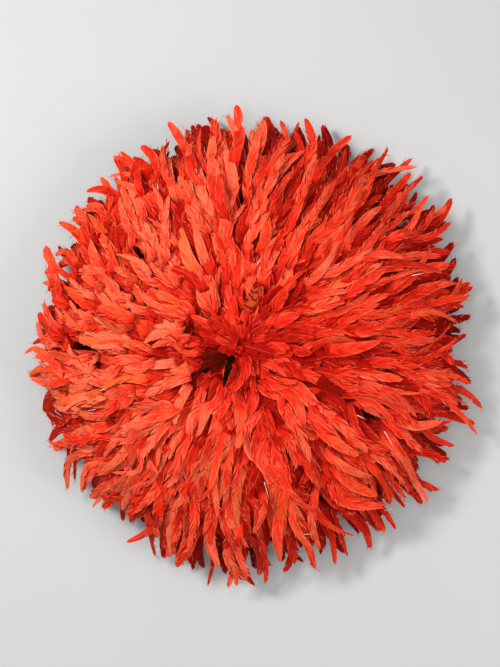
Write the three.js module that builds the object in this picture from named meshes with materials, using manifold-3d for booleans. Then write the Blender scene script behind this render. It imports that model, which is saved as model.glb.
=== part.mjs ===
// Feathered headdress: a round, open mass of dyed cock feathers, tied row above row to a stiff woven base.
// The base is a twined raffia skullcap with a brim round it, bound by a wound roll at the head opening. It
// rests on the roll, with the feathers up.
// Millimetres, +Z up. The origin is the middle of the head opening, on the surface that the headdress
// stands on.
import * as THREE from "three";
import { mergeVertices } from "three/addons/utils/BufferGeometryUtils.js";
import Module from "manifold-3d";

// Head opening and wound roll
const HEAD_RADIUS = 92;
const ROLL_HEIGHT = 14;
const ROLL_WALL = 14;
const ROLL_CHAMFER = 3.5;

// Woven base
const WEAVE_WALL = 3;
const CAP_DEPTH = 98;
const CAP_WALL_HEIGHT = 50;
const BRIM_FILLET = 9;
const BRIM_RADIUS = 205;
const BRIM_SLOPE = THREE.MathUtils.degToRad(5);

// Feathers
const FEATHER_REACH = 322;
const CROWN_HEIGHT = 190;
const TIE_CORD_THICKNESS = 6;
const LOCK_THICKNESS = 8;
const LOCK_OVERLAP = 1.25;
const LOCK_CAMBER = 0.14;

// Uneven lengths and places of the locks: how much, as a share of the lock's length and of its place's
// width, and how far the sine that sets it turns from one lock to the next.
const LENGTH_JITTER = 0.04;
const LENGTH_BEAT = 3.7;
const SIDE_JITTER = 0.12;
const SIDE_BEAT = 2.4;

// Every second lock of a row lies under its neighbours. It leaves the cord at a lower slope, its tip
// reaches further out, and it falls below theirs the more the further the row reaches.
const UNDER_LEAN = 10;
const UNDER_REACH = 17;
const UNDER_DROP = 20;

// Fit and facets
const GAP = 0.3;
const ROUND_STEPS = 28;
const DOME_STEPS = 6;
const FILLET_STEPS = 3;
const CORD_SIDES = 5;
const LOCK_SIDES = 3;

// Rows of feathers from the crown outwards. seat is where the tie cord lies, as a share of the base's outer
// line from its top to its edge. reach and height place the tips, as shares of FEATHER_REACH and
// CROWN_HEIGHT. lift is how steeply the quills leave the cord, in degrees.
const ROWS = [
  { seat: 0.065, reach: 0.18, height: 0.95, lift: 88, locks: 12 },
  { seat: 0.175, reach: 0.312, height: 0.925, lift: 88, locks: 14 },
  { seat: 0.29, reach: 0.447, height: 0.88, lift: 87, locks: 18 },
  { seat: 0.45, reach: 0.584, height: 0.795, lift: 86, locks: 22 },
  { seat: 0.7, reach: 0.715, height: 0.66, lift: 84, locks: 24 },
  { seat: 0.83, reach: 0.84, height: 0.475, lift: 74, locks: 26 },
  { seat: 0.955, reach: 0.948, height: 0.275, lift: 52, locks: 28 },
];

// One lock of feathers from its foot to its tip: distance along it, and width and thickness as shares of
// its fullest.
const LOCK_STATIONS = [
  { along: 0, width: 0.18, thickness: 0.5 },
  { along: 0.25, width: 0.52, thickness: 0.7 },
  { along: 0.55, width: 1, thickness: 1 },
  { along: 0.82, width: 0.8, thickness: 0.7 },
  { along: 1, width: 0, thickness: 0 },
];

// How far the tips reach in each direction, as a share of FEATHER_REACH. The feathers are longer on the +X
// side, so the crown lies off the middle of the outline.
const OUTLINE = [
  { degrees: 0, reach: 1.05 },
  { degrees: 30, reach: 1.09 },
  { degrees: 60, reach: 1.04 },
  { degrees: 90, reach: 1.04 },
  { degrees: 120, reach: 1 },
  { degrees: 150, reach: 0.93 },
  { degrees: 180, reach: 0.9 },
  { degrees: 210, reach: 0.96 },
  { degrees: 240, reach: 0.99 },
  { degrees: 270, reach: 1.08 },
  { degrees: 300, reach: 1.04 },
  { degrees: 330, reach: 1.05 },
];

const raffia = new THREE.MeshStandardMaterial({ color: 0xb08a55, roughness: 0.85, metalness: 0 });
const woundRaffia = new THREE.MeshStandardMaterial({ color: 0xa27c48, roughness: 0.8, metalness: 0 });
const dyedFeather = new THREE.MeshStandardMaterial({ color: 0xe8432a, roughness: 0.65, metalness: 0 });

const wasm = await Module();
wasm.setup();

function solidFrom(geometry) {
  const bare = geometry.clone();
  bare.deleteAttribute("normal");
  bare.deleteAttribute("uv");
  const merged = mergeVertices(bare, 1e-3);
  return new wasm.Manifold(
    new wasm.Mesh({
      numProp: 3,
      vertProperties: new Float32Array(merged.attributes.position.array),
      triVerts: new Uint32Array(merged.index.array),
    }),
  );
}

function geometryFrom(solid) {
  const { vertProperties, triVerts } = solid.getMesh();
  const geometry = new THREE.BufferGeometry();
  geometry.setAttribute("position", new THREE.BufferAttribute(vertProperties, 3));
  geometry.setIndex(new THREE.BufferAttribute(triVerts, 1));
  geometry.computeVertexNormals();
  return geometry;
}

function named(name, geometry, material) {
  const mesh = new THREE.Mesh(geometry, material);
  mesh.name = name;
  return mesh;
}

// A closed profile of (radius, height) points, turned about +Z.
function turned(profile) {
  return new THREE.LatheGeometry([...profile, profile[0]], ROUND_STEPS).rotateX(Math.PI / 2);
}

// The base's section, as a line of (radius, height) points at a depth below its outer face: over the dome,
// down the skullcap's wall, round the fillet and out along the brim.
const brimTop = ROLL_HEIGHT + GAP + WEAVE_WALL;
const fillet = new THREE.Vector2(HEAD_RADIUS + WEAVE_WALL + BRIM_FILLET, brimTop + BRIM_FILLET);

function baseLine(depth) {
  const wallRadius = HEAD_RADIUS + WEAVE_WALL - depth;
  const domeRise = CAP_DEPTH + WEAVE_WALL - CAP_WALL_HEIGHT - depth;
  const bend = BRIM_FILLET + depth;
  const brimStart = new THREE.Vector2(Math.sin(BRIM_SLOPE), -Math.cos(BRIM_SLOPE))
    .multiplyScalar(bend)
    .add(fillet);
  const points = [];
  for (let i = 0; i <= DOME_STEPS; i++) {
    const turn = ((i / DOME_STEPS) * Math.PI) / 2;
    points.push(new THREE.Vector2(wallRadius * Math.sin(turn), CAP_WALL_HEIGHT + domeRise * Math.cos(turn)));
  }
  for (let i = 0; i <= FILLET_STEPS; i++) {
    const turn = Math.PI + (i / FILLET_STEPS) * (Math.PI / 2 + BRIM_SLOPE);
    points.push(new THREE.Vector2(Math.cos(turn), Math.sin(turn)).multiplyScalar(bend).add(fillet));
  }
  const run = (BRIM_RADIUS - brimStart.x) / Math.cos(BRIM_SLOPE);
  const outwards = new THREE.Vector2(Math.cos(BRIM_SLOPE), Math.sin(BRIM_SLOPE));
  points.push(outwards.multiplyScalar(run).add(brimStart));
  return points;
}

// The cap ends at the foot of its wall, and the brim starts there with its fillet.
function wovenBase() {
  const wallFoot = (depth) => new THREE.Vector2(HEAD_RADIUS + WEAVE_WALL - depth, fillet.y + GAP);
  const capLine = (depth) => [...baseLine(depth).slice(0, DOME_STEPS + 1), wallFoot(depth)];
  const brimLine = (depth) => baseLine(depth).slice(DOME_STEPS + 1);
  const group = new THREE.Group();
  for (const [name, line] of [["woven_cap", capLine], ["woven_brim", brimLine]]) {
    group.add(named(name, turned([...line(WEAVE_WALL), ...line(0).reverse()]), raffia));
  }
  return group;
}

// The roll that the headdress stands on: a ring with a flat foot and chamfered edges.
function browRoll() {
  const inner = HEAD_RADIUS;
  const outer = HEAD_RADIUS + ROLL_WALL;
  const profile = [
    new THREE.Vector2(inner + ROLL_CHAMFER, 0),
    new THREE.Vector2(outer - ROLL_CHAMFER, 0),
    new THREE.Vector2(outer, ROLL_CHAMFER),
    new THREE.Vector2(outer, ROLL_HEIGHT - ROLL_CHAMFER),
    new THREE.Vector2(outer - ROLL_CHAMFER, ROLL_HEIGHT),
    new THREE.Vector2(inner + ROLL_CHAMFER, ROLL_HEIGHT),
    new THREE.Vector2(inner, ROLL_HEIGHT - ROLL_CHAMFER),
    new THREE.Vector2(inner, ROLL_CHAMFER),
  ];
  return named("brow_roll", turned(profile), woundRaffia);
}

// The outline's share of FEATHER_REACH in a direction, eased between the table's rows.
function outlineReach(azimuth) {
  const place = THREE.MathUtils.euclideanModulo(azimuth / (2 * Math.PI), 1) * OUTLINE.length;
  const before = OUTLINE[Math.floor(place) % OUTLINE.length].reach;
  const after = OUTLINE[(Math.floor(place) + 1) % OUTLINE.length].reach;
  return THREE.MathUtils.lerp(before, after, THREE.MathUtils.smoothstep(place % 1, 0, 1));
}

// Where a row's tie cord lies: on the base's outer face, clear of it by the gap.
function cordSeat(row) {
  const line = new THREE.CurvePath();
  const points = baseLine(0);
  points.slice(1).forEach((point, i) => line.add(new THREE.LineCurve(points[i], point)));
  const along = line.getTangentAt(row.seat);
  const outwards = new THREE.Vector2(-along.y, along.x);
  return outwards.multiplyScalar(TIE_CORD_THICKNESS / 2 + GAP).add(line.getPointAt(row.seat));
}

// A row's upper locks all follow one arc in section, from the cord to the tips, and its under locks
// another. The arc leaves the cord at its lift and bends evenly outwards: the chord's slope is the mean of
// the slopes at its ends.
function featherArc(row, under) {
  const foot = cordSeat(row);
  const tip = new THREE.Vector2(row.reach * FEATHER_REACH, row.height * CROWN_HEIGHT);
  if (under) tip.add(new THREE.Vector2(UNDER_REACH, -UNDER_DROP * row.reach));
  const chord = tip.clone().sub(foot);
  const lift = THREE.MathUtils.degToRad(under ? row.lift - UNDER_LEAN : row.lift);
  const turn = 2 * (lift - Math.atan2(chord.y, chord.x));
  const bendRadius = chord.length() / 2 / Math.sin(turn / 2);
  return {
    slopeAt: (along) => lift - turn * along,
    pointAt(along) {
      const slope = lift - turn * along;
      return new THREE.Vector2(
        foot.x + bendRadius * (Math.sin(lift) - Math.sin(slope)),
        foot.y + bendRadius * (Math.cos(slope) - Math.cos(lift)),
      );
    },
  };
}

// One lock: a cone with three sides, laid along the row's arc. One side is the flat underside, and the
// other two meet in a ridge along the top. A section of unit radius is sqrt(3) wide and 1.5 high. The
// lock's edges hang a little, as a feather's do.
function featherLock(row, index) {
  const arc = featherArc(row, index % 2 === 1);
  const pitch = (2 * Math.PI) / row.locks;
  const azimuth = (index + SIDE_JITTER * Math.sin(SIDE_BEAT * index + row.locks)) * pitch;
  const length = 1 + LENGTH_JITTER * Math.sin(LENGTH_BEAT * index + row.locks);
  const width = LOCK_OVERLAP * arc.pointAt(0.5).x * pitch;
  const steps = LOCK_STATIONS.length - 1;
  const geometry = new THREE.CylinderGeometry(0, 1, steps, LOCK_SIDES, steps);
  const position = geometry.attributes.position;
  for (let i = 0; i < position.count; i++) {
    const step = Math.round(position.getY(i) + steps / 2);
    const station = LOCK_STATIONS[step];
    const coneRadius = Math.max(1 - step / steps, 1 / steps);
    const across = (position.getX(i) / coneRadius / Math.sqrt(3)) * station.width * width;
    const raised = (position.getZ(i) / coneRadius / 1.5) * station.thickness * LOCK_THICKNESS;
    const along = station.along * length;
    const centre = arc.pointAt(along);
    const slope = arc.slopeAt(along);
    const above = raised - LOCK_CAMBER * Math.abs(across);
    const radius = (centre.x - above * Math.sin(slope)) * (1 + (outlineReach(azimuth) - 1) * along ** 2);
    position.setXYZ(
      i,
      radius * Math.cos(azimuth) + across * Math.sin(azimuth),
      radius * Math.sin(azimuth) - across * Math.cos(azimuth),
      centre.y + above * Math.cos(slope),
    );
  }
  return geometry;
}

function tieCord(row) {
  const seat = cordSeat(row);
  return new THREE.TorusGeometry(seat.x, TIE_CORD_THICKNESS / 2, CORD_SIDES, ROUND_STEPS).translate(0, 0, seat.y);
}

// A row: its tie cord, with every lock's foot bound into it.
function featherRow(row, number) {
  let solid = solidFrom(tieCord(row));
  for (let i = 0; i < row.locks; i++) {
    solid = solid.add(solidFrom(featherLock(row, i)));
  }
  return named(`feather_row_${number}`, geometryFrom(solid), dyedFeather);
}

function feathers() {
  const group = new THREE.Group();
  ROWS.forEach((row, i) => group.add(featherRow(row, i + 1)));
  return group;
}

const headdress = new THREE.Group();
headdress.add(wovenBase(), browRoll(), feathers());

export default headdress;
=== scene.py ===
# %% [markdown]
# # A feathered headdress
# The real thing is a woven raffia cap and brim with row upon row of dyed cock feathers tied to it. The
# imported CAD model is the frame: it says how large the headdress is, where each tie cord lies and how far
# each row of feathers reaches. Everything made here is placed from it.

# %% Load the frame
import math

import bpy
import numpy as np
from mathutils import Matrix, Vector


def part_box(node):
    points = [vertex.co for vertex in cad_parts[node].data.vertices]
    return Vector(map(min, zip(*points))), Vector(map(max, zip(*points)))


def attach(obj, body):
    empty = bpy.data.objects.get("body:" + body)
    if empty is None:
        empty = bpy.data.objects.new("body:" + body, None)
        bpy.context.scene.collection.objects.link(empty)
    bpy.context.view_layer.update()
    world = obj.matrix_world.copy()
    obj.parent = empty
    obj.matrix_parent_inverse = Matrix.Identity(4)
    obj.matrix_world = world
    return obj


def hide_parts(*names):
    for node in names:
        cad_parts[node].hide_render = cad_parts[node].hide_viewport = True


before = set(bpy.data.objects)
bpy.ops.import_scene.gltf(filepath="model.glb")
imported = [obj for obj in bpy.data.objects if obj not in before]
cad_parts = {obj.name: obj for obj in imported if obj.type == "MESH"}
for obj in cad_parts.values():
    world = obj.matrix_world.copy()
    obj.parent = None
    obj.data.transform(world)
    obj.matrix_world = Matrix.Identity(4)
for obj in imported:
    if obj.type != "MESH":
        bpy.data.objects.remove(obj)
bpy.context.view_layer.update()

# %% [markdown]
# ## The camera
# The photograph looks straight down on the crown. One of its pixels is 1.4 mm at the outermost tips, and
# the crown lies left of and below the middle of the picture. A long lens keeps the tall crown from
# looking too large beside the rim. The camera comes first, so that all else can be judged through it.

# %% Camera
PHOTO = np.array([500, 667])
METRES_PER_PIXEL = 0.0014
EYE_DISTANCE = 2.3
TIP_HEIGHT = 0.045
CROWN_HEIGHT = 0.17
CROWN_PIXEL = np.array([240, 345])
SENSOR = 36

to_crown = (PHOTO / 2 - CROWN_PIXEL) * [1, -1] * METRES_PER_PIXEL
to_crown *= (EYE_DISTANCE + TIP_HEIGHT - CROWN_HEIGHT) / EYE_DISTANCE
camera = bpy.data.objects.new("camera", bpy.data.cameras.new("camera"))
bpy.context.collection.objects.link(camera)
camera.location = (to_crown[0], to_crown[1], EYE_DISTANCE + TIP_HEIGHT)
camera.data.sensor_width = SENSOR
camera.data.lens = SENSOR * EYE_DISTANCE / (PHOTO[1] * METRES_PER_PIXEL)
bpy.context.scene.camera = camera
print(f"camera {camera.location.z:.2f} m up, lens {camera.data.lens:.0f} mm")

# %% [markdown]
# ## Light
# Soft studio light. The photograph's comes mainly from the upper left, which leaves the lower right deeper
# in colour, so a key light stands at the upper left, and a weaker and broader fill stands opposite.
# The Standard view transform keeps the dye's strong red, which AgX would wash out.

# %% Studio
AIM = (0, 0, 0.08)
SKY = (0.93, 0.95, 1, 1)
SKY_STRENGTH = 0.4


def area_light(name, position, size, power):
    """A round light of this size in metres and power in watts that faces the middle of the headdress."""
    light = bpy.data.objects.new(name, bpy.data.lights.new(name, "AREA"))
    light.data.shape = "DISK"
    light.data.size = size
    light.data.energy = power
    light.location = position
    light.rotation_euler = (Vector(AIM) - Vector(position)).to_track_quat("-Z", "Y").to_euler()
    bpy.context.collection.objects.link(light)


area_light("key", (-1.2, 0.7, 1.9), size=0.5, power=52)
area_light("fill", (1.4, -0.5, 1.5), size=1.2, power=20)
area_light("top", (-0.2, 0.2, 2.6), size=1.2, power=20)
world = bpy.data.worlds.new("studio")
bpy.context.scene.world = world
world.use_nodes = True
background = world.node_tree.nodes["Background"]
background.inputs["Color"].default_value = SKY
background.inputs["Strength"].default_value = SKY_STRENGTH
bpy.context.scene.view_settings.view_transform = "Standard"

# %% [markdown]
# ## Helpers
# All new pieces are grids of points worked out as whole numpy arrays, one formula for a piece. The helpers
# turn such arrays into meshes, keep values at their vertices and give them their place in the frame.

# %% Mesh helpers
def build_mesh(name, points, quads, triangles=()):
    """A mesh object from points (n, 3), four-cornered faces (m, 4) and three-cornered faces (k, 3)."""
    triangles = np.asarray(triangles, int).reshape(-1, 3)
    corners = np.concatenate([quads.ravel(), triangles.ravel()])
    sizes = np.repeat([4, 3], [len(quads), len(triangles)])
    mesh = bpy.data.meshes.new(name)
    mesh.vertices.add(len(points))
    mesh.vertices.foreach_set("co", np.ascontiguousarray(points, np.float32).ravel())
    mesh.loops.add(len(corners))
    mesh.loops.foreach_set("vertex_index", corners.astype(np.int32))
    mesh.polygons.add(len(sizes))
    mesh.polygons.foreach_set("loop_start", (np.cumsum(sizes) - sizes).astype(np.int32))
    mesh.update(calc_edges=True)
    mesh.shade_smooth()
    piece = bpy.data.objects.new(name, mesh)
    bpy.context.collection.objects.link(piece)
    return piece


def closed_strips(name, sections, starts, ends):
    """n closed strips in one mesh: sections (n, rows, ring, 3) joined lengthwise, and closed by a fan of
    faces at a start point and an end point (n, 3) each. The rings run clockwise, seen along the strip."""
    n, rows, ring, _ = sections.shape
    points = np.concatenate([sections.reshape(n, -1, 3), starts[:, None], ends[:, None]], axis=1)
    index = np.arange(rows * ring).reshape(rows, ring)
    around = np.roll(index, -1, axis=1)
    quads = np.stack([index[:-1], around[:-1], around[1:], index[1:]], axis=-1).reshape(-1, 4)
    start, end = rows * ring, rows * ring + 1
    first = np.stack([around[0], index[0], np.full(ring, start)], axis=-1)
    last = np.stack([index[-1], around[-1], np.full(ring, end)], axis=-1)
    step = (np.arange(n) * points.shape[1])[:, None, None]
    quads = (quads[None] + step).reshape(-1, 4)
    triangles = (np.concatenate([first, last])[None] + step).reshape(-1, 3)
    return build_mesh(name, points.reshape(-1, 3), quads, triangles)


def closed_rings(name, sections):
    """A closed ring in one mesh: sections (columns, ring, 3) follow each other anticlockwise round the axis,
    and the last meets the first. Each runs clockwise, seen along the ring."""
    columns, ring, _ = sections.shape
    index = np.arange(columns * ring).reshape(columns, ring)
    ahead = np.roll(index, -1, axis=0)
    quads = np.stack([index, np.roll(index, -1, axis=1), np.roll(ahead, -1, axis=1), ahead], axis=-1)
    return build_mesh(name, sections.reshape(-1, 3), quads.reshape(-1, 4))


def sharpen(piece, margin):
    """Keeps the shading crisp along each edge that runs between two vertices of the margin."""
    ends = np.empty(len(piece.data.edges) * 2, np.int32)
    piece.data.edges.foreach_get("vertices", ends)
    sharp = margin[ends.reshape(-1, 2)].all(axis=1)
    piece.data.attributes.new("sharp_edge", "BOOLEAN", "EDGE").data.foreach_set("value", sharp)


def point_data(piece, name, values):
    """Keeps a value, or a vector of three, for each vertex, for the materials to read."""
    values = np.ascontiguousarray(values, np.float32)
    kind, field = ("FLOAT_VECTOR", "vector") if values.ndim == 2 else ("FLOAT", "value")
    piece.data.attributes.new(name, kind, "POINT").data.foreach_set(field, values.ravel())


def place(piece, slot, *nodes):
    """The piece rides on the root body and stands for these CAD nodes, which are hidden. slot is not used."""
    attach(piece, "root")
    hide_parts(*nodes)
    triangles = sum(len(p.vertices) - 2 for p in piece.data.polygons)
    print(f"{piece.name}: {triangles} triangles")


# %% [markdown]
# ## Shader helpers
# A material is easier to read as arithmetic than as boxes and wires. `Wire` wraps a node's output, so that
# `a * 2 + b` makes the Math nodes for it.

# %% Wires
class Wire:
    """One output of a node, which can be calculated with."""

    def __init__(self, tree, socket):
        self.tree = tree
        self.socket = socket

    def node(self, kind, *inputs, output=0, **settings):
        """A new node's output. inputs are put in its sockets in order, or by name as (name, value)."""
        made = self.tree.nodes.new(kind)
        for key, value in settings.items():
            setattr(made, key, value)
        for i, item in enumerate(inputs):
            name, value = item if isinstance(item, tuple) and isinstance(item[0], str) else (i, item)
            if isinstance(value, Wire):
                self.tree.links.new(value.socket, made.inputs[name])
            else:
                made.inputs[name].default_value = value
        return Wire(self.tree, made.outputs[output])

    def math(self, operation, *others):
        return self.node("ShaderNodeMath", self, *others, operation=operation)

    def __add__(self, other):
        return self.math("ADD", other)

    def __sub__(self, other):
        return self.math("SUBTRACT", other)

    def __rsub__(self, other):
        return self.node("ShaderNodeMath", other, self, operation="SUBTRACT")

    def __mul__(self, other):
        return self.math("MULTIPLY", other)

    __radd__ = __add__
    __rmul__ = __mul__

    def abs(self):
        return self.math("ABSOLUTE")

    def between(self, low, high):
        """0 up to low, 1 from high, with a smooth rise between them."""
        return self.node("ShaderNodeMapRange", self, low, high, interpolation_type="SMOOTHSTEP")

    def mix(self, a, b):
        """Colour a where this is 0, colour b where it is 1."""
        made = self.tree.nodes.new("ShaderNodeMix")
        made.data_type = "RGBA"
        for socket, value in ((made.inputs[0], self), (made.inputs[6], a), (made.inputs[7], b)):
            if isinstance(value, Wire):
                self.tree.links.new(value.socket, socket)
            else:
                socket.default_value = (*value, 1)
        return Wire(self.tree, made.outputs[2])

    def noise(self, scale, detail, roughness=0.5):
        """Noise at this vector, from 0 to 1."""
        settings = (("Vector", self), ("Scale", scale), ("Detail", detail), ("Roughness", roughness))
        return self.node("ShaderNodeTexNoise", *settings)

    def split(self):
        """The three components of a vector."""
        parts = self.tree.nodes.new("ShaderNodeSeparateXYZ")
        self.tree.links.new(self.socket, parts.inputs[0])
        return [Wire(self.tree, out) for out in parts.outputs]

    def vector(self, x, y, z):
        return self.node("ShaderNodeCombineXYZ", x, y, z)


def material(name, finish):
    """A material whose surface finish(start, shader) sets up. start is the object's own coordinates, the wire
    that all others are made from."""
    made = bpy.data.materials.new(name)
    made.use_nodes = True
    tree = made.node_tree
    shader = tree.nodes["Principled BSDF"]
    start = Wire(tree, tree.nodes.new("ShaderNodeTexCoord").outputs["Object"])
    finish(start, shader)
    return made


def plug(wire, shader, name):
    """The wire sets this input of the surface at every point of it."""
    wire.tree.links.new(wire.socket, shader.inputs[name])


def stored(start, name):
    """The three numbers that point_data kept under this name."""
    return start.node("ShaderNodeAttribute", attribute_name=name, output=1).split()


def bump(wire, shader, strength, distance):
    """The wire is a height, which tilts the surface's normal: relief finer than the faces can hold."""
    inputs = (("Strength", strength), ("Distance", distance), ("Height", wire))
    plug(wire.node("ShaderNodeBump", *inputs), shader, "Normal")


# %% [markdown]
# ## The floor
# Pale, matt paper. A faint mottling keeps so large and plain a surface from looking like nothing at all.

# %% Floor
PAPER_DARK = (0.43, 0.425, 0.415)
PAPER_PALE = (0.46, 0.455, 0.445)


def paper(start, shader):
    plug(start.noise(3, 4).mix(PAPER_DARK, PAPER_PALE), shader, "Base Color")
    shader.inputs["Roughness"].default_value = 0.9
    shader.inputs["Specular IOR Level"].default_value = 0.1


FLOOR_HALF = 15
floor_corners = np.array([[-1, -1, 0], [1, -1, 0], [1, 1, 0], [-1, 1, 0]]) * FLOOR_HALF
floor = build_mesh("floor", floor_corners, np.array([[0, 1, 2, 3]]))
floor.data.materials.append(material("paper", paper))

# %% [markdown]
# ## Measuring the rows
# Each feather row of the CAD model is a tie cord with locks of feathers. The cord is its innermost and
# lowest part. The locks' tips show how far out and how high the row's feathers end. The outermost row also
# gives the outline, as a share of its mean reach in each direction.

# %% Rows from the frame
ROWS = 7
CORD_RADIUS = 0.003
SECTORS = 24
RIM_WINDOW = 1.2


def vertices_of(node):
    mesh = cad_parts[node].data
    flat = np.empty(len(mesh.vertices) * 3, np.float32)
    mesh.vertices.foreach_get("co", flat)
    return flat.reshape(-1, 3).astype(float)


def furthest(points, sectors, window=1.0):
    """The furthest point from the axis in each of these sectors, each widened by a window of sectors."""
    radius = np.hypot(points[:, 0], points[:, 1])
    sector = np.arctan2(points[:, 1], points[:, 0]) / (2 * np.pi) * sectors
    middles = np.arange(sectors)
    off = (sector[None] - middles[:, None] + sectors / 2) % sectors - sectors / 2
    return points[np.where(np.abs(off) <= window, radius, 0).argmax(axis=1)]


cords = []
tips = []
for row in range(ROWS):
    points = vertices_of(f"feather_row_{row + 1}")
    cords.append((np.hypot(points[:, 0], points[:, 1]).min() + CORD_RADIUS, points[:, 2].min() + CORD_RADIUS))
    far = furthest(points, SECTORS // 2)
    tips.append((np.hypot(far[:, 0], far[:, 1]).mean(), far[:, 2].mean()))
cords = np.array(cords)
tips = np.array(tips)
rim = furthest(vertices_of(f"feather_row_{ROWS}"), SECTORS, RIM_WINDOW)
rim_reach = np.hypot(rim[:, 0], rim[:, 1])
rim_share = rim_reach / rim_reach.mean()


def outline(azimuth):
    """The reach in a direction, as a share of the mean reach, between the sectors' middles."""
    sector = azimuth / (2 * np.pi) * SECTORS % SECTORS
    before = np.floor(sector).astype(int) % SECTORS
    ease = sector % 1
    return rim_share[before] * (1 - ease) + rim_share[(before + 1) % SECTORS] * ease


for row in range(ROWS):
    print(f"row {row + 1}: cord at {cords[row].round(3)}, tips at {tips[row].round(3)}")

# %% [markdown]
# ## Feathers
# A cock's feather has a thin, slightly arched vane on either side of its shaft. Its barbs slant towards the
# tip, and the edge splits where they part. A hair system would draw strands, not vanes, so each feather is a
# closed strip along a curve that rises from its cord and bends outwards. The curve's steepness is solved for,
# so that its middle lies just under the dome that all the tips make. A strip has only a few dozen faces,
# most of them in the outer half that shows, and its margins are creased, so that the thin edge stays crisp.
#
# A batch of feathers is a dictionary with an array for each of these. foot_r, foot_z, tip_r and tip_z say
# where a feather begins and ends, and az0 and az1 in which directions. lift and fall are its slopes there,
# and under is how deep its middle lies. sway, hook and curl bend it sideways on its way, and sideways and
# upwards at its end. roll and twist turn it about its own line. width, blunt, ragged, splits, camber and
# wave shape its vane. tint, warmth and shade say how pale, how orange and how badly dyed it is.

# %% Feather shape
STATIONS = 19
SLANT = 0.55
VANE_THICKNESS = 0.0004
ACROSS = np.array([-1, 0, 1])
LOWEST = 0.006
PLUME = 0.65
STEM_LIMITS = (0.3, 1.8)
BARE_QUILL = 0.06
QUILL_SHARE = 0.06
FULL_WIDTH = 0.4
TAPER = 0.62
SPLIT = 0.4


def unit(vectors):
    return vectors / np.maximum(np.linalg.norm(vectors, axis=-1, keepdims=True), 1e-9)


def vane_width(along, blunt):
    """The vane's half width from quill to tip, as a share of its fullest: bare quill, a long swell, then a
    tip that is round for a large blunt and pointed for a small one."""
    swell = np.clip((along - BARE_QUILL) / (FULL_WIDTH - BARE_QUILL), 0, 1)
    swell = QUILL_SHARE + (1 - QUILL_SHARE) * swell * (2 - swell)
    past = np.clip((along - TAPER) / (1 - TAPER), 0, 1)
    return swell * (1 - past**blunt) ** np.maximum(1.1 - 0.2 * blunt, 0.4)


def envelope(r):
    """The height of the whole dome of tips over this distance from the axis."""
    return np.interp(r, tips[:, 0], tips[:, 1])


def feather_lines(batch):
    """The middle lines of a batch. In the upright plane through its azimuth a feather is a cubic curve that
    leaves its foot at the lift and meets its tip at the fall: p = (1-s)^3 foot + 3 (1-s)^2 s (foot + stem
    chord lift) + 3 (1-s) s^2 (tip - PLUME chord fall) + s^3 tip. The stem brings the middle of the curve to
    its depth under the dome. The azimuth drifts from az0 to az1, sways in between, and hooks round at the
    end."""
    s = 1 - (1 - np.linspace(0, 1, STATIONS + 1)) ** 1.25
    column = {key: np.asarray(value)[:, None] for key, value in batch.items()}
    feet, ends = (np.stack([column[end + "_r"], column[end + "_z"]]) for end in ("foot", "tip"))
    chord = np.hypot(*(ends - feet))
    rise = np.stack([np.cos(column["lift"]), np.sin(column["lift"])])
    fall = np.stack([np.cos(column["fall"]), np.sin(column["fall"])])
    middle = (feet + ends) / 2 + 3 / 8 * chord * (rise - PLUME * fall)
    missing = envelope(middle[0]) - column["under"] - middle[1]
    stem = np.clip(1 + missing / (3 / 8 * chord * rise[1]), *STEM_LIMITS)
    knots = feet, feet + stem * chord * rise, ends - PLUME * chord * fall, ends
    weights = (1 - s) ** 3, 3 * (1 - s) ** 2 * s, 3 * (1 - s) * s**2, s**3
    r, z = sum(weight * knot for weight, knot in zip(weights, knots))
    z = np.maximum(z + column["curl"] * s**4, LOWEST)
    slope = np.arctan2(np.gradient(z, axis=1), np.gradient(r, axis=1))
    azimuth = column["az0"] + (column["az1"] - column["az0"]) * s**1.3
    azimuth = azimuth + column["sway"] * np.sin(2 * np.pi * s) * s + column["hook"] * s**5
    r = r * (1 + (outline(azimuth) - 1) * s**2)
    line = np.stack([r * np.cos(azimuth), r * np.sin(azimuth), z], axis=-1)
    ahead = unit(np.gradient(line, axis=1))
    up = [-np.sin(slope) * np.cos(azimuth), -np.sin(slope) * np.sin(azimuth), np.cos(slope)]
    up = np.stack(up, axis=-1)
    up = unit(up - ahead * (up * ahead).sum(-1, keepdims=True))
    side = np.cross(ahead, up)
    roll = (column["roll"] + column["twist"] * s)[..., None]
    side, up = side * np.cos(roll) + up * np.sin(roll), up * np.cos(roll) - side * np.sin(roll)
    return s, line, ahead, up, side


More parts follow.
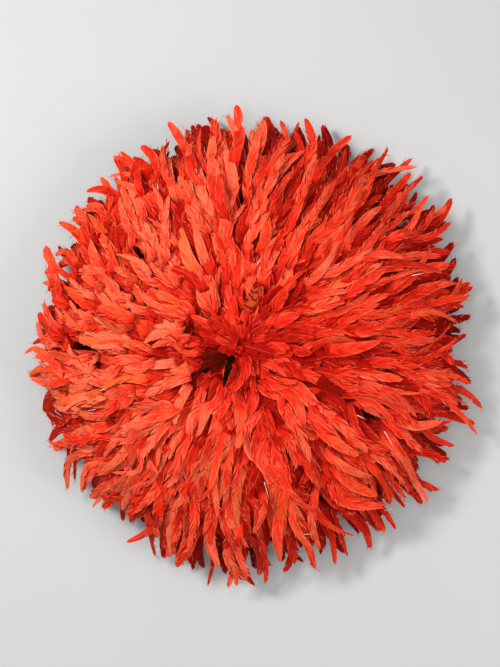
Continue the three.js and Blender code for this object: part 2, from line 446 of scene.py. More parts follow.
def feather_mesh(name, rng, batch):
    """The vanes along those lines. A vane's section is a shallow roof over a flat underside, and its margins
    lean forward by SLANT of their width. Every second station of a margin is drawn in, where barbs part, and
    one station is drawn in to SPLIT of the width in the share of feathers that splits says. Three vectors go
    with each vertex: vane is its side, its share of the length and its distance to the tip, dye is the
    feather's tint, warmth and shade, and lie is the feather's own number and the depth under the dome."""
    s, line, ahead, up, side = feather_lines(batch)
    n = len(line)
    width = batch["width"][:, None] / 2 * vane_width(s, batch["blunt"][:, None])
    parted = np.where(np.arange(STATIONS + 1) % 2, 1, 0) * (0.3 + 0.7 * s)
    margin = 1 - batch["ragged"][:, None] * parted * rng.random((2, n, STATIONS + 1))
    split = rng.integers(STATIONS // 2, STATIONS - 1, (2, n))
    for edge, station in zip(margin, split):
        edge[np.arange(n), station] *= np.where(rng.random(n) < batch["splits"], SPLIT, 1)
    x = ACROSS * width[..., None]
    x[..., 0] *= margin[0]
    x[..., 2] *= margin[1]
    wave = (batch["wave"][:, None] * np.sin(2 * np.pi * (1.7 * s + rng.random((n, 1)))) * s)[..., None]
    ridge = VANE_THICKNESS + batch["camber"][:, None, None] * width[..., None]
    height = ridge * (ACROSS == 0) + wave * x
    forward = SLANT * np.abs(x)
    sections = (line[:, :, None] + side[:, :, None] * x[..., None] + up[:, :, None] * height[..., None]
                + ahead[:, :, None] * forward[..., None])[:, :-1]
    piece = closed_strips(name, sections, line[:, 0] - ahead[:, 0] * 0.001, line[:, -1])

    def with_ends(values, first, last):
        values = np.broadcast_to(values, sections.shape[:3]).reshape(n, -1)
        return np.concatenate([values, np.full((n, 1), first), np.full((n, 1), last)], axis=1)

    length = np.linalg.norm(np.diff(line, axis=1), axis=2)
    to_tip = np.cumsum(length[:, ::-1], axis=1)[:, ::-1, None]
    r = np.hypot(line[..., 0], line[..., 1]) / outline(np.arctan2(line[..., 1], line[..., 0]))
    # Painted shade: the material darkens points by this depth under the dome of tips.
    depth = np.maximum(envelope(r) - line[..., 2], 0)[:, :-1, None]
    across = with_ends(ACROSS, 0, 0)
    vane = [across, with_ends(s[:-1, None], 0, 1), with_ends(to_tip, 0.1, 0)]
    point_data(piece, "vane", np.stack(vane, axis=-1).reshape(-1, 3))
    dye = [with_ends(batch[key][:, None, None], 0, 0) for key in ("tint", "warmth", "shade")]
    dye = np.stack(dye, axis=-1)
    dye[:, -2:] = dye[:, :1]
    point_data(piece, "dye", dye.reshape(-1, 3))
    own = np.repeat(rng.random(n), across.shape[1])
    lie = [own, with_ends(depth, 0.1, 0).ravel(), own * 0]
    point_data(piece, "lie", np.stack(lie, axis=-1))
    margins = np.abs(across) > 0
    margins[:, -2:] = True
    sharpen(piece, margins.ravel())
    return piece, (s, line, ahead, up, side, width)


# %% Dyed feather material
CRIMSON_DARK = (0.09, 0.002, 0.001)
CRIMSON = (0.35, 0.003, 0.001)
VERMILION = (0.83, 0.025, 0.008)
CORAL = (0.95, 0.18, 0.086)
ORANGE = (0.86, 0.135, 0.03)
RUST = (0.3, 0.04, 0.012)
BARBS_PER_METRE = 270
TONE_SHIFT = 3.25
THROUGH = 0.25
GLOW = (0.74, 0.06, 0.026)


def dyed(start, shader):
    """Barbs run slantwise from the shaft: noise drawn out along them gives each its own tone and relief. Deep
    crimson is painted as shade near the quill, where the feathers above cover it, low down in the mass of
    feathers and in slits where barbs part, and the colour is palest at the tip. Some light comes through the
    vane."""
    across, along, distance = stored(start, "vane")
    tint, warmth, shade = stored(start, "dye")
    own, depth, _ = stored(start, "lie")
    out = across.abs()
    barb = distance * BARBS_PER_METRE + out * 4.6
    barbs = start.vector(barb, across * 0.9, own * 61).noise(1, 4, 0.75)
    coarse = start.vector(barb * 0.22, across * 0.7, own * 37).noise(1, 2)
    mottle = start.noise(40, 3)
    # Painted shade: tone falls towards the quill, where the feathers above cover it, and rises to the tip.
    tone = barbs * 3.6 + coarse * 1.4 + mottle * 0.8 + tint * 1.2 + along.between(0.5, 1) * 0.5 - TONE_SHIFT
    tone = tone + out.between(0.6, 1) * 0.4
    colour = tone.between(-0.7, 0.3).mix(CRIMSON, VERMILION)
    pale = (warmth * (mottle.between(0.3, 0.6) * 0.8 + barbs)).mix(CORAL, ORANGE)
    colour = tone.between(0.1, 1.3).mix(colour, pale)
    colour = (shade * barbs.between(0.2, 0.75) * 1.2).mix(colour, RUST)
    # Painted shade: thin crimson slits where barbs part stand for the shade in the gaps.
    painted_slit_shade = start.vector(barb * 0.5, across * 0.3, own * 23).noise(1, 1)
    colour = (painted_slit_shade.between(0.56, 0.64) * out.between(0.1, 0.45) * own.between(0.1, 0.5)).mix(colour, CRIMSON)
    # Painted shade: the deeper under the dome of tips, the darker the crimson.
    colour = (depth.between(0.001, 0.02) * 0.8).mix(colour, CRIMSON)
    colour = (depth.between(0.016, 0.042) * 0.85).mix(colour, CRIMSON_DARK)
    shaft = (1 - out.between(0.04, 0.1)) * own.between(0.5, 1) * 0.25
    colour = shaft.mix(colour, CORAL)
    plug(colour, shader, "Base Color")
    plug(0.55 + barbs * 0.3, shader, "Roughness")
    shader.inputs["Specular IOR Level"].default_value = 0.05
    bump(barbs + coarse * 0.6, shader, 0.8, 0.001)
    through = start.node("ShaderNodeBsdfTranslucent", ("Color", (*GLOW, 1)))
    both = start.node("ShaderNodeMixShader", THROUGH, Wire(start.tree, shader.outputs[0]), through)
    start.tree.links.new(both.socket, start.tree.nodes["Material Output"].inputs["Surface"])


dyed_feather = material("dyed_feather", dyed)

# %% [markdown]
# ## The rows
# The feathers of a row are tied in bunches, which pull their tips together and leave dark gaps between
# them, and that is what gives the headdress its tousled look. So a bunch has its own lean, length and
# height, and a feather differs from its bunch by a little. A row's tips fill the band from the tips of the
# row inside it to its own, so that the feathers lie like shingles. More than half of them lie a centimetre
# deeper than the others, are broader and are painted darker as shade, so that a gap shows feathers, not the
# base. Beside the crown the feathers part in a deep trough, where their colour is darkened as painted shade.
# A few small tables say what the photograph shows of the whole: where the feathers lean, and where they are
# paler or more orange. The paler feathers on the left, where the key light stands, are painted light.

# %% Lay the rows
SEED = 11
# A list has a value for each row from the crown outwards. Angles are above the level, lengths in metres.
LIFTS = np.radians([92, 90, 88, 86, 82, 75, 65])
FALLS = np.radians([8, -4, -12, -20, -30, -38, -38])
UNDER = [0.014, 0.008, 0.005, 0.004, 0.004, 0.006, 0.01]
HEART_EDGE = (0.034, tips[0][1] - 0.002)
OVERLAP = np.array([3, 3, 3.1, 3.3, 3.5, 3.8, 4.1])
EXPOSED = np.array([0.026, 0.034, 0.044, 0.056, 0.064, 0.066, 0.056])
WIDTHS = np.array([0.013, 0.014, 0.0145, 0.014, 0.0132, 0.0126, 0.012])
BLUNTNESS = np.array([3.2, 3.1, 2.9, 2.8, 2.8, 3, 3.5])
BUNCH_SPACING = [0.03, 0.03, 0.03, 0.03, 0.03, 0.036, 0.044]
STRAGGLE = np.array([0.008, 0.008, 0.008, 0.008, 0.008, 0.01, 0.014])
DEEPER = np.array([-0.6, -0.4, -0.2, -0.05, 0, -0.05, -0.25])
MOST_FURTHER = 0.6
BENEATH = 0.6
BENEATH_DEPTH = 0.01
BENEATH_SHORTER = 0.018
# Painted light: feathers towards the left, where the key light stands, are paler by this much.
LIT_SIDE_PALENESS = 0.22
LIT_SIDE = np.radians(178)
TROUGH = np.radians(206)
TROUGH_SPREAD = np.radians(26)
TROUGH_DEPTH = 0.04
TROUGH_FADE = 0.055
# Azimuth and spread in degrees, then how much paler and how much more orange the outer feathers are there.
# The pale patch at 197°, on the key light's side, is painted light; the orange in the patches is dye.
PATCHES = np.array([
    [197, 15, 0.6, 0.15],
    [136, 13, -0.1, 0.45],
    [20, 12, -0.1, 0.25],
    [300, 14, 0, 0.2],
])
PALER, MORE_ORANGE = 2, 3
FIRST_PATCHED_ROW = 5
FLOW = np.radians([0, 1, -1.5, 0, -1.5, -4, -5, -2, 1, 1.5, 0, -1, 0])


def flow(azimuth):
    """How far round the tips have drifted from their quills in a direction, between the table's values."""
    return np.interp(azimuth % (2 * np.pi), np.linspace(0, 2 * np.pi, len(FLOW)), FLOW)


def trough(azimuth, r):
    """1 in the middle of the trough where the feathers part beside the crown, and 0 outside it. It is a bell
    curve across and fades out between 60 and 115 mm from the axis."""
    return np.exp(-(((azimuth - TROUGH) / TROUGH_SPREAD) ** 2)) * np.clip(2.1 - r / TROUGH_FADE, 0, 1)


def patch(azimuth, column):
    """The sum of the patches' values in this column in a direction, each fading away from its middle."""
    off = (np.degrees(azimuth)[:, None] - PATCHES[:, 0] + 180) % 360 - 180
    return (PATCHES[:, column] * np.exp(-((off / PATCHES[:, 1]) ** 2))).sum(axis=1)


def lay_row(row):
    """The values of all feathers of a row. Each is a value for the row, plus what the feather shares with its
    bunch and what is its own. back says how far inside the row's edge its tip lies, from 0 to 1."""
    rng = np.random.default_rng(SEED + row)
    inner = np.array(HEART_EDGE if row == 0 else tips[row - 1])
    outer = tips[row]
    area = np.pi * (outer[0] ** 2 - inner[0] ** 2)
    count = int(OVERLAP[row] * area / EXPOSED[row] / WIDTHS[row])
    bunches = round(2 * np.pi * outer[0] / BUNCH_SPACING[row])
    layers = np.ceil(count / bunches)
    bunch = np.arange(count) % bunches
    pitch = 2 * np.pi / bunches
    last = row == ROWS - 1
    patched = row >= FIRST_PATCHED_ROW

    def per_bunch(spread):
        return rng.normal(0, spread, bunches)[bunch]

    def each(spread):
        return rng.normal(0, spread, count)

    def some(share, those, others):
        """A value from the first range for this share of the feathers, and from the second for the others."""
        chosen = rng.random(count) < share
        return np.where(chosen, rng.uniform(*those, count), rng.uniform(*others, count))

    middle = (np.arange(bunches) + rng.uniform(-0.2, 0.2, bunches))[bunch] * pitch
    offset = rng.uniform(-1, 1, count)
    back = (np.arange(count) // bunches + rng.random(count)) / layers
    if last:
        back = back**0.7
    tip = outer + (inner - outer) * back[:, None]
    az1 = middle + offset * pitch * 0.8
    further = np.clip(per_bunch(0.7) + each(0.7), -2, MOST_FURTHER) * STRAGGLE[row]
    lean = (per_bunch(0.012) + each(0.008)) / outer[0] + flow(az1)
    parted = trough(az1 % (2 * np.pi), tip[:, 0])
    beneath = rng.random(count) < BENEATH
    lower = TROUGH_DEPTH * parted + BENEATH_DEPTH * beneath
    if last:
        further = further - np.where(beneath, BENEATH_SHORTER, 0.003)
    # Painted light and shade: paler towards the key light, darker in the trough and on the feathers beneath.
    tone_and_painted_shading = DEEPER[row] + LIT_SIDE_PALENESS * np.cos(az1 - LIT_SIDE) - 3 * parted - 0.5 * beneath
    tone_and_painted_shading = tone_and_painted_shading + patch(az1, PALER) * patched
    return {
        "foot_r": cords[row][0] + rng.uniform(-0.001, 0.003, count),
        "foot_z": np.full(count, cords[row][1]),
        "tip_r": tip[:, 0] + further,
        "tip_z": tip[:, 1] + per_bunch(0.002) + each(0.002) - lower,
        "under": UNDER[row] + 0.004 * (1 - back) + each(0.002) + lower + 0.004 * parted,
        "lift": LIFTS[row] - np.radians(8) * (1 - back) + each(0.05),
        "fall": FALLS[row] + np.radians(6) * back + each(0.08) + per_bunch(0.05),
        "az0": az1 - lean + offset * pitch * 0.1,
        "az1": az1,
        "sway": (per_bunch(0.01) + each(0.007)) / outer[0],
        "hook": (per_bunch(0.01) + each(0.009) * rng.exponential(1, count)) / outer[0] + 0.3 * flow(az1),
        "curl": each(0.002) + per_bunch(0.002),
        "roll": offset * 0.12 + each(0.18),
        "twist": each(0.3),
        "width": WIDTHS[row] * rng.uniform(0.7, 1.35, count) * (1 + 0.3 * beneath),
        "blunt": BLUNTNESS[row] + rng.uniform(-1, 1.2, count),
        "ragged": rng.uniform(0.04, 0.2, count),
        "splits": rng.uniform(0, 0.35, count),
        "camber": rng.uniform(0.0, 0.13, count),
        "wave": rng.uniform(0, 0.15, count),
        "tint": rng.beta(3, 3, count) + per_bunch(0.07) + tone_and_painted_shading,
        "shade": some(0.03, (0.3, 0.8), (0, 0.05)),
        "warmth": some(0.25, (0.3, 0.9), (0, 0.15)) + patch(az1, MORE_ORANGE) * patched * rng.random(count),
    }


def feathers(name, rng, batch, *nodes):
    """The batch as one piece that stands for these nodes. Returns the lines, which loose barbs grow from."""
    piece, lines = feather_mesh(name, rng, batch)
    piece.data.materials.append(dyed_feather)
    place(piece, "dyed_feather", *nodes)
    return lines


row_lines = []
for row in range(ROWS):
    rng = np.random.default_rng(SEED + 100 + row)
    row_lines.append(feathers(f"feathers_{row + 1}", rng, lay_row(row), f"feather_row_{row + 1}"))

# %% [markdown]
# ## The heart
# Inside the innermost cord a tuft of small feathers stands almost upright and opens out, which closes the
# crown to a small dark dimple.

# %% Heart feathers
HEART_COUNT = 44
HEART_HEIGHT = 0.174


def heart():
    rng = np.random.default_rng(SEED + 50)
    n = HEART_COUNT
    reach = rng.permutation(np.linspace(0.028, 0.066, n))
    azimuth = np.arange(n) * np.pi * (3 - np.sqrt(5))
    parted = trough(azimuth % (2 * np.pi), reach)
    return {
        "foot_r": rng.uniform(0.002, 0.016, n),
        "foot_z": np.full(n, cords[0][1]),
        "tip_r": reach,
        "tip_z": HEART_HEIGHT + reach * 0.12 + rng.normal(0, 0.003, n) - 0.012 * parted,
        "under": 0.006 + rng.normal(0, 0.003, n) + 0.014 * parted,
        "lift": np.radians(rng.uniform(80, 90, n)),
        "fall": np.radians(rng.uniform(-5, 25, n)),
        "az0": azimuth,
        "az1": azimuth + rng.normal(0, 0.45, n),
        "sway": rng.normal(0, 0.1, n),
        "hook": rng.normal(0, 0.15, n),
        "curl": -rng.uniform(0, 0.006, n),
        "roll": rng.normal(0, 0.25, n),
        "twist": rng.normal(0, 0.3, n),
        "width": rng.uniform(0.013, 0.019, n),
        "blunt": rng.uniform(2.4, 4.4, n),
        "ragged": rng.uniform(0.03, 0.25, n),
        "splits": rng.uniform(0, 0.6, n),
        "camber": rng.uniform(0.05, 0.25, n),
        "wave": rng.uniform(0, 0.2, n),
        "tint": rng.uniform(-0.7, 0.1, n),
        "shade": np.where(rng.random(n) < 0.05, 0.4, 0.03),
        "warmth": np.where(rng.random(n) < 0.1, 0.5, 0.05),
    }


feathers("heart_feathers", np.random.default_rng(SEED + 51), heart(), "feather_row_1")

# %% [markdown]
# ## The longest feathers
# A few feathers stand out beyond the rim, some of them hooked. They give the outline its character, so their
# tips are read off the photograph.

# %% Longest feathers
# Azimuth of the tip and of the foot and the hook in degrees, reach and width in millimetres.
LONGEST = np.array([
    [153, 168, -8, 305, 22],
    [45, 52, -12, 350, 10],
    [91, 93, 2, 334, 17],
    [108, 105, 3, 326, 14],
    [34, 36, 3, 348, 14],
    [171, 178, -4, 286, 17],
    [339, 346, -6, 354, 9],
    [122, 124, 3, 318, 11],
    [62, 66, -4, 330, 13],
    [267, 270, -2, 341, 11],
    [240, 245, -3, 318, 12],
    [320, 326, -3, 342, 10],
    [189, 192, -3, 297, 12],
    [207, 211, -5, 300, 11],
])


def longest():
    rng = np.random.default_rng(SEED + 60)
    tip_az, foot_az, hook, reach, width = LONGEST.T
    n = len(LONGEST)
    az1, hook = np.radians(tip_az - hook), np.radians(hook)
    return {
        "foot_r": np.full(n, cords[-1][0]),
        "foot_z": np.full(n, cords[-1][1]),
        "tip_r": reach / 1000 / outline(az1 + hook),
        "tip_z": rng.uniform(0.05, 0.062, n),
        "under": rng.uniform(-0.008, -0.004, n),
        "lift": np.full(n, LIFTS[-1]),
        "fall": np.radians(rng.uniform(-25, -5, n)),
        "az0": np.radians(foot_az),
        "az1": az1,
        "sway": rng.normal(0, 0.015, n),
        "hook": hook,
        "curl": np.zeros(n),
        "roll": rng.normal(0, 0.1, n),
        "twist": rng.normal(0, 0.1, n),
        "width": width / 1000,
        "blunt": rng.uniform(3, 5, n),
        "ragged": rng.uniform(0.04, 0.15, n),
        "splits": rng.uniform(0, 0.4, n),
        "camber": rng.uniform(0.02, 0.12, n),
        "wave": rng.uniform(0, 0.1, n),
        "tint": rng.uniform(0.1, 0.7, n),
        "shade": np.zeros(n),
        "warmth": rng.uniform(0, 0.3, n),
    }


feathers("longest_feathers", np.random.default_rng(SEED + 61), longest(), "feather_row_7")

# %% [markdown]
# ## Loose barbs and bare quills
# Where a vane has frayed, single barbs stand off its margin, most of all in the outer rows. Here and there
# the pale end of a broken quill shows. Both are slivers: slender three-sided strands that taper to a point.

# %% Slivers
SLIVER_RING = np.radians([90, -30, 210])


def slivers(name, root, ahead, up, length, width, bend):
    """n strands in one mesh. At share s of its length a strand lies at root + length (s ahead + bend s^2 up),
    and its half width is width (1 - s^2) / 2."""
    s = np.array([0, 0.55, 1])
    course = s[:, None] * ahead[:, None] + (bend[:, None] * s**2)[..., None] * up[:, None]
    line = root[:, None] + length[:, None, None] * course
    side = unit(np.cross(ahead, up))
    across = np.sin(SLIVER_RING)[:, None] * up[:, None] + np.cos(SLIVER_RING)[:, None] * side[:, None]
    half = (width[:, None] / 2 * (1 - s[:2] ** 2))[:, :, None, None]
    sections = line[:, :2, None] + half * across[:, None]
    return closed_strips(name, sections, line[:, 0] - ahead * 0.0005, line[:, 2])


def barbs(name, rng, lines, per_feather, node):
    """So many barbs for each feather on average, along the outer half of its margins."""
    s, line, ahead, up, side, width = lines
    n = len(line)
    count = int(n * per_feather)
    feather = rng.integers(0, n, count)
    station = rng.integers(int(STATIONS * 0.45), STATIONS, count)
    hand = rng.choice([-1, 1], count)[:, None]
    lean = rng.uniform(0.15, 0.6, count)[:, None]
    at = (feather, station)
    root = line[at] + side[at] * hand * width[at][:, None] * rng.uniform(0.4, 0.85, count)[:, None]
    root = root + ahead[at] * SLANT * width[at][:, None] * 0.6 + up[at] * 0.0005
    heading = unit(ahead[at] * np.cos(lean) + side[at] * hand * np.sin(lean) + up[at] * 0.12)
    length = rng.uniform(0.004, 0.012, count)
    thick = rng.uniform(0.001, 0.0019, count)
    piece = slivers(name, root, heading, up[at], length, thick, rng.normal(0, 0.12, count))
    corners = len(piece.data.vertices) // count
    vane = np.stack([hand[:, 0] * 0.9, s[station], rng.random(count) * 0.1], axis=-1)
    point_data(piece, "vane", np.repeat(vane, corners, axis=0))
    dye = np.stack([rng.uniform(0.3, 1, count), rng.uniform(0, 0.4, count), np.zeros(count)], axis=-1)
    point_data(piece, "dye", np.repeat(dye, corners, axis=0))
    lie = np.stack([rng.random(count), np.zeros(count), np.zeros(count)], axis=-1)
    point_data(piece, "lie", np.repeat(lie, corners, axis=0))
    piece.data.materials.append(dyed_feather)
    place(piece, "dyed_feather", node)


BARBS_PER_FEATHER = [1, 1, 2, 4, 6, 8, 10]
for row in range(ROWS):
    rng = np.random.default_rng(SEED + 70 + row)
    barbs(f"loose_barbs_{row + 1}", rng, row_lines[row], BARBS_PER_FEATHER[row], f"feather_row_{row + 1}")


# %% Bare quills
# Azimuth, reach in millimetres, heading, and length in millimetres, read off the photograph.
QUILLS = np.array([
    [198, 189, 200, 16],
    [204, 214, 192, 18],
    [345, 158, 350, 24],
    [329, 182, 335, 16],
    [329, 226, 302, 40],
    [287, 270, 0, 22],
    [311, 303, 12, 16],
    [280, 186, 285, 28],
    [78, 108, 60, 14],
    [118, 236, 100, 16],
    [148, 262, 130, 20],
    [22, 250, 10, 22],
])
QUILL = (0.85, 0.6, 0.48)


def horn(start, shader):
    """Pale horn, stained by the dye in places."""
    plug(start.noise(120, 2).between(0.45, 0.7).mix(QUILL, CORAL), shader, "Base Color")
    shader.inputs["Roughness"].default_value = 0.35


def on_dome(x, y, above):
    """The point over (x, y) that is this far above the dome of tips."""
    far = np.hypot(x, y) / outline(np.arctan2(y, x))
    return np.stack([x, y, envelope(far) + above], axis=-1)


def bare_quills():
    rng = np.random.default_rng(SEED + 90)
    n = len(QUILLS)
    azimuth, heading = np.radians(QUILLS[:, [0, 2]]).T
    reach, length = QUILLS[:, [1, 3]].T / 1000
    x, y = reach * np.cos(azimuth), reach * np.sin(azimuth)
    root = on_dome(x, y, 0.001)
    along = on_dome(x + length * np.cos(heading), y + length * np.sin(heading), 0.006) - root
    ahead = unit(along)
    up = unit(np.array([0, 0, 1]) - ahead * ahead[:, 2:])
    thick = rng.uniform(0.0012, 0.002, n)
    span = np.linalg.norm(along, axis=1)
    piece = slivers("bare_quills", root, ahead, up, span, thick, rng.normal(0, 0.05, n))
    piece.data.materials.append(material("quill_horn", horn))
    place(piece, "dyed_feather", "feather_row_4")


bare_quills()

# %% [markdown]
# ## Odd feathers
# A few feathers took the dye badly, because they were dark or barred before it. They show as dark accents
# near the crown, and their places are read off the photograph. The three dark ones in the trough are
# painted shade: dark feathers put where the trough lies in shadow. They are one more batch of the same
# feathers, with a material of its own.

# %% Odd feathers
NIGHT = (0.002, 0.003, 0.0008)
MAROON = (0.17, 0.004, 0.002)
BUFF = (0.45, 0.065, 0.02)
BARS_PER_METRE = 190


def undyed_and_shade(start, shader):
    """Blackish green where tint is 0 and maroon with crimson barbs where it is 1, with buff bars where shade
    is high."""
    across, _, distance = stored(start, "vane")
    tint, _, shade = stored(start, "dye")
    out = across.abs()
    barb = distance * BARBS_PER_METRE + out * 3.4
    barbs = start.vector(barb, out * 0.8, tint * 9).noise(1, 3, 0.7)
    wander = start.noise(90, 1)
    bars = ((distance * BARS_PER_METRE + wander * 5) * math.pi).math("SINE")
    colour = (tint + (barbs - 0.5) * 1.4).between(0, 1).mix(NIGHT, MAROON)
    colour = (tint * barbs.between(0.4, 0.8) * 0.6).mix(colour, CRIMSON)
    colour = ((bars * 0.6 + barbs).between(0, 1) * shade).mix(colour, BUFF)
    plug(colour, shader, "Base Color")
    plug(0.5 + barbs * 0.3, shader, "Roughness")
    shader.inputs["Specular IOR Level"].default_value = 0
    bump(barbs, shader, 0.7, 0.0008)


# Azimuth of the tip and of the foot in degrees, reach of the tip and of the foot, height above the dome and
# width in millimetres, then maroon and barred shares.
# The rows at 212°, 196° and 226° lie in the trough: dark feathers put there as painted shade.
ODD = np.array([
    [249, 236, 60, 8, 10, 9, 0.05, 0],
    [212, 206, 70, 12, -1, 13, 0.35, 0],
    [196, 198, 60, 10, -2, 12, 0.4, 0],
    [226, 216, 58, 10, -1, 11, 0.3, 0],
    [75, 80, 86, 30, 7, 15, 1, 0.7],
    [80, 84, 50, 14, 5, 12, 0.75, 0],
    [336, 336, 146, 100, 12, 16, 0.9, 0],
])


def odd_feathers():
    tip_az, foot_az, reach, foot, above, width, maroon, barred = ODD.T
    n = len(ODD)
    flat = np.zeros(n)
    tip_z = envelope(reach / 1000) + above / 1000
    batch = {
        "foot_r": foot / 1000,
        "foot_z": tip_z - (reach - foot) / 1000 * 0.8,
        "tip_r": reach / 1000,
        "tip_z": tip_z,
        "under": -above / 1000,
        "lift": flat + np.radians(72),
        "fall": flat - np.radians(4),
        "az0": np.radians(foot_az),
        "az1": np.radians(tip_az),
        "sway": flat + 0.02,
        "hook": flat,
        "curl": flat,
        "roll": flat,
        "twist": flat + 0.1,
        "width": width / 1000,
        "blunt": flat + 2.2,
        "ragged": flat + 0.15,
        "splits": flat + 0.5,
        "camber": flat + 0.12,
        "wave": flat + 0.08,
        "tint": maroon,
        "warmth": flat,
        "shade": barred,
    }
    piece, _ = feather_mesh("odd_feathers", np.random.default_rng(SEED + 95), batch)
    piece.data.materials.append(material("undyed_and_shade_feather", undyed_and_shade))
    place(piece, "dyed_feather", "feather_row_2")


odd_feathers()

# %% [markdown]
# ## The woven base
# Beneath the feathers is a skullcap of twined raffia with a brim round it. In twining, two weft strands
# cross between every two warps, so the face is rows of small slanting stitches. The base is a line in
# section turned round the axis. Its rows of twining are real relief, and the stitches are bump.

# %% Base in section
WEAVE_WALL = 0.003
CAP_WALL_TOP = 0.05
BRIM_FILLET = 0.009
BRIM_SLOPE = np.radians(5)
COURSE = 0.0055
RELIEF = 0.0006
SPACING = 0.0016
cap_low, cap_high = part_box("woven_cap")
brim_low, brim_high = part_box("woven_brim")


def relief_line(line):
    """The line at even spacing, drawn in along its normal between rows of twining that are COURSE apart: by
    RELIEF (1 - |sin(pi distance / COURSE)|). The distances come with it."""
    far = np.concatenate([[0], np.cumsum(np.linalg.norm(np.diff(line, axis=0), axis=1))])
    at = np.linspace(0, far[-1], int(far[-1] / SPACING))
    even = np.stack([np.interp(at, far, line[:, 0]), np.interp(at, far, line[:, 1])], axis=1)
    ahead = unit(np.gradient(even, axis=0))
    inwards = np.stack([ahead[:, 1], -ahead[:, 0]], axis=1)
    return even + inwards * RELIEF * (1 - np.abs(np.sin(np.pi * at / COURSE)))[:, None], at


def cap_line(depth):
    """From the pole down a quarter ellipse and straight on to the cap's foot, this far inside its face."""
    turn = np.linspace(0.01, np.pi / 2, 60)
    radius = cap_high[0] - depth
    rise = cap_high[2] - CAP_WALL_TOP - depth
    dome = np.stack([radius * np.sin(turn), CAP_WALL_TOP + rise * np.cos(turn)], axis=1)
    return np.concatenate([dome, [[radius, cap_low[2]]]])


def brim_line(depth):
    """From the cap's foot round a fillet and outwards at the brim's slope, this far below its face."""
    fillet = np.array([cap_high[0] + BRIM_FILLET, brim_low[2] + BRIM_FILLET + WEAVE_WALL])
    turn = np.linspace(np.pi, 1.5 * np.pi + BRIM_SLOPE, 20)[:, None]
    bend = fillet + (BRIM_FILLET + depth) * np.concatenate([np.cos(turn), np.sin(turn)], axis=1)
    run = brim_high[0] - bend[-1, 0]
    return np.concatenate([bend, [bend[-1] + [run, run * np.tan(BRIM_SLOPE)]]])


def turned(line, azimuth):
    r, z = line[:, 0, None], line[:, 1, None]
    return np.stack([r * np.cos(azimuth), r * np.sin(azimuth), z + 0 * azimuth], axis=-1)


# %% Raffia material
STRAW = (0.42, 0.25, 0.1)
STRAW_DARK = (0.15, 0.075, 0.025)
STRAW_PALE = (0.56, 0.38, 0.18)


def straw(start, tone, shader, stained):
    """Raffia that is darker where tone is low and paler where it is high, which its callers use for painted
    shade in the hollows and painted light on the ridges, and darker in stains, and red by the share stained.
    """
    colour = tone.between(0.25, 0.55).mix(STRAW_DARK, STRAW)
    colour = tone.between(0.5, 0.85).mix(colour, STRAW_PALE)
    colour = (start.noise(14, 3).between(0.5, 0.75) * 0.6).mix(colour, STRAW_DARK)
    red = tone.between(0.2, 0.8).mix(CRIMSON_DARK, CRIMSON)
    plug((start.noise(20, 2).between(0, 0.6) * stained).mix(colour, red), shader, "Base Color")
    shader.inputs["Specular IOR Level"].default_value = 0.25


def twined(start, shader):
    """weave holds the number of stitches round, the row of twining, and 1 on the face that the feathers lie
    on, where dye has run into the raffia. A stitch lies half a stitch further on in every second row, and
    fibres run along it."""
    stitches, row, stained = stored(start, "weave")
    x, y, _ = start.split()
    around = y.math("ARCTAN2", x) * (0.5 / math.pi) * stitches
    course = row.math("FLOOR")
    across = row.math("FRACT")
    slant = around + course.math("MODULO", 2.0) * 0.5 + across * 0.45
    stitch = (slant * math.pi).math("SINE").abs()
    ridge = (row * math.pi).math("SINE").abs()
    fibres = start.vector(slant * 7, across * 1.2, course).noise(1, 3)
    relief = stitch * ridge
    # Painted shade and light: the relief darkens the colour between stitches and pales it on their crowns.
    straw(start, fibres * 0.75 + relief * 0.4 - 0.08, shader, stained)
    plug(0.65 + fibres * 0.2, shader, "Roughness")
    bump(relief + fibres * 0.25, shader, 0.9, 0.0014)


raffia = material("raffia", twined)

# %% Cap and brim
CAP_COLUMNS = 144
CAP_STITCHES = 96
BRIM_STITCHES = 180


def weave_data(piece, stitches, rows, stained):
    """rows is each vertex's distance along the section, in rows of twining."""
    point_data(piece, "weave", np.stack([np.full(rows.size, stitches), rows, stained], axis=-1))
    piece.data.materials.append(raffia)


def woven_cap():
    """Down the outer face from the pole and up the inner face to it again, each section a full circle."""
    outer, out_at = relief_line(cap_line(0))
    inner, in_at = relief_line(cap_line(WEAVE_WALL)[::-1])
    azimuth = -np.linspace(0, 2 * np.pi, CAP_COLUMNS, endpoint=False)
    sections = turned(np.concatenate([outer, inner]), azimuth)[None]
    poles = [np.array([[0, 0, z]]) for z in (outer[0, 1], inner[-1, 1])]
    piece = closed_strips("woven_cap_twined", sections, *poles)
    rows = np.concatenate([out_at, in_at[::-1]]) / COURSE
    top = np.repeat([1.0, 0.0], [len(outer), len(inner)])
    weave_data(piece, CAP_STITCHES, np.concatenate([np.repeat(rows, CAP_COLUMNS), [0, 0]]),
               np.concatenate([np.repeat(top, CAP_COLUMNS), [1, 0]]))
    place(piece, "raffia", "woven_cap")


def woven_brim():
    """Outwards over the upper face and back under the lower one, carried round the axis."""
    upper, up_at = relief_line(brim_line(0))
    lower, low_at = relief_line(brim_line(WEAVE_WALL)[::-1])
    azimuth = np.linspace(0, 2 * np.pi, CAP_COLUMNS, endpoint=False)
    sections = turned(np.concatenate([upper, lower]), azimuth).transpose(1, 0, 2)
    piece = closed_rings("woven_brim_twined", sections)
    rows = np.concatenate([up_at, low_at[::-1]]) / COURSE
    top = np.repeat([1.0, 0.0], [len(upper), len(lower)])
    weave_data(piece, BRIM_STITCHES, np.tile(rows, CAP_COLUMNS), np.tile(top, CAP_COLUMNS))
    place(piece, "raffia", "woven_brim")


woven_cap()
woven_brim()

# %% [markdown]
# ## Wound and twisted strands
# The roll at the head opening and the binding of the brim's edge are wound with raffia. The tie cords that
# hold the feathers are twisted. All are rings whose section is drawn in where two turns of a strand meet.

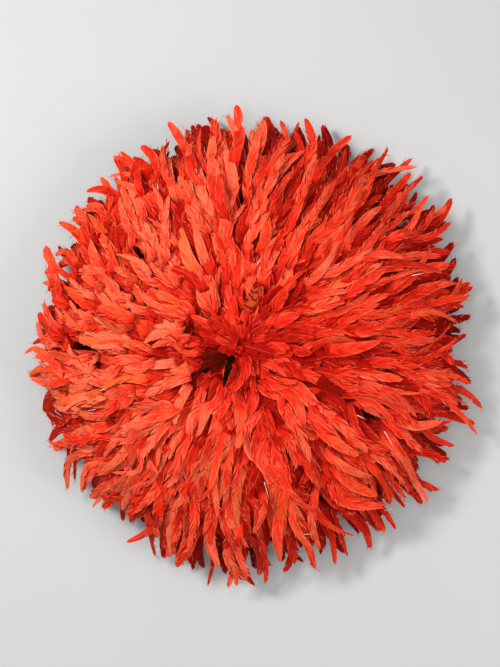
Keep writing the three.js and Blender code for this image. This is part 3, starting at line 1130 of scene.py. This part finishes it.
# %% Wound rings
def wound(start, shader):
    """strand holds the cosine and sine of the turn, which is 1 from groove to groove, and 1 where the strand
    was dyed with the feathers. Fibres run along it."""
    cosine, sine, stained = stored(start, "strand")
    crown = 0.5 - cosine * 0.5
    fibres = start.noise(60, 2) * 0.4 + start.vector(cosine * 3, sine * 3, 0.0).noise(2.5, 2) * 0.6
    # Painted shade and light: crown darkens the colour in the grooves between turns and pales it on each
    # turn.
    straw(start, fibres * 0.8 + crown * 0.35 - 0.12, shader, stained)
    plug(0.6 + fibres * 0.25, shader, "Roughness")
    bump(crown * 0.5 + fibres * 0.4, shader, 0.7, 0.0008)


wound_raffia = material("wound_raffia", wound)


def wound_ring(name, node, centre, half, wraps, groove, square, ring=16, columns=6, stained=0):
    """A ring whose section is a rounded square: (r, z) = centre + half (cos t, sin t), each raised to the
    power square, times 1 - groove (1 - |sin(pi turn)|), with turn = wraps azimuth / 2 pi + t / 2 pi."""
    azimuth = np.linspace(0, 2 * np.pi, wraps * columns, endpoint=False)[:, None]
    t = -np.linspace(0, 2 * np.pi, ring, endpoint=False)
    turn = (wraps * azimuth + t) / (2 * np.pi)
    draw = 1 - groove * (1 - np.abs(np.sin(np.pi * turn)))
    r = centre[0] + half[0] * draw * np.sign(np.cos(t)) * np.abs(np.cos(t)) ** square
    z = centre[1] + half[1] * draw * np.sign(np.sin(t)) * np.abs(np.sin(t)) ** square
    sections = np.stack([r * np.cos(azimuth), r * np.sin(azimuth), z], axis=-1)
    piece = closed_rings(name, sections)
    strand = np.stack([np.cos(2 * np.pi * turn), np.sin(2 * np.pi * turn), 0 * turn + stained], axis=-1)
    point_data(piece, "strand", strand.reshape(-1, 3))
    piece.data.materials.append(wound_raffia)
    place(piece, "dyed_feather" if stained else "wound_raffia", node)


ROLL_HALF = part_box("brow_roll")[1][2] / 2
ROLL_WRAPS = 104
HEAD_RADIUS = cap_high[0] - WEAVE_WALL
roll_centre = (HEAD_RADIUS + ROLL_HALF, ROLL_HALF)
wound_ring("brow_roll_wound", "brow_roll", roll_centre, (ROLL_HALF, ROLL_HALF), ROLL_WRAPS, 0.1, 0.6)

BINDING_HALF = (0.0042, 0.003)
BINDING_WRAPS = 190
edge = brim_line(WEAVE_WALL / 2)[-1] - [0.003, 0]
wound_ring("brim_binding", "woven_brim", edge, BINDING_HALF, BINDING_WRAPS, 0.12, 0.9, ring=10, columns=4)

CORD_TWIST = 0.0075
for row in range(ROWS):
    wraps = round(2 * np.pi * cords[row][0] / CORD_TWIST)
    wound_ring(f"tie_cord_{row + 1}", f"feather_row_{row + 1}", cords[row], (CORD_RADIUS, CORD_RADIUS), wraps,
               groove=0.25, square=1, ring=8, columns=4, stained=1)
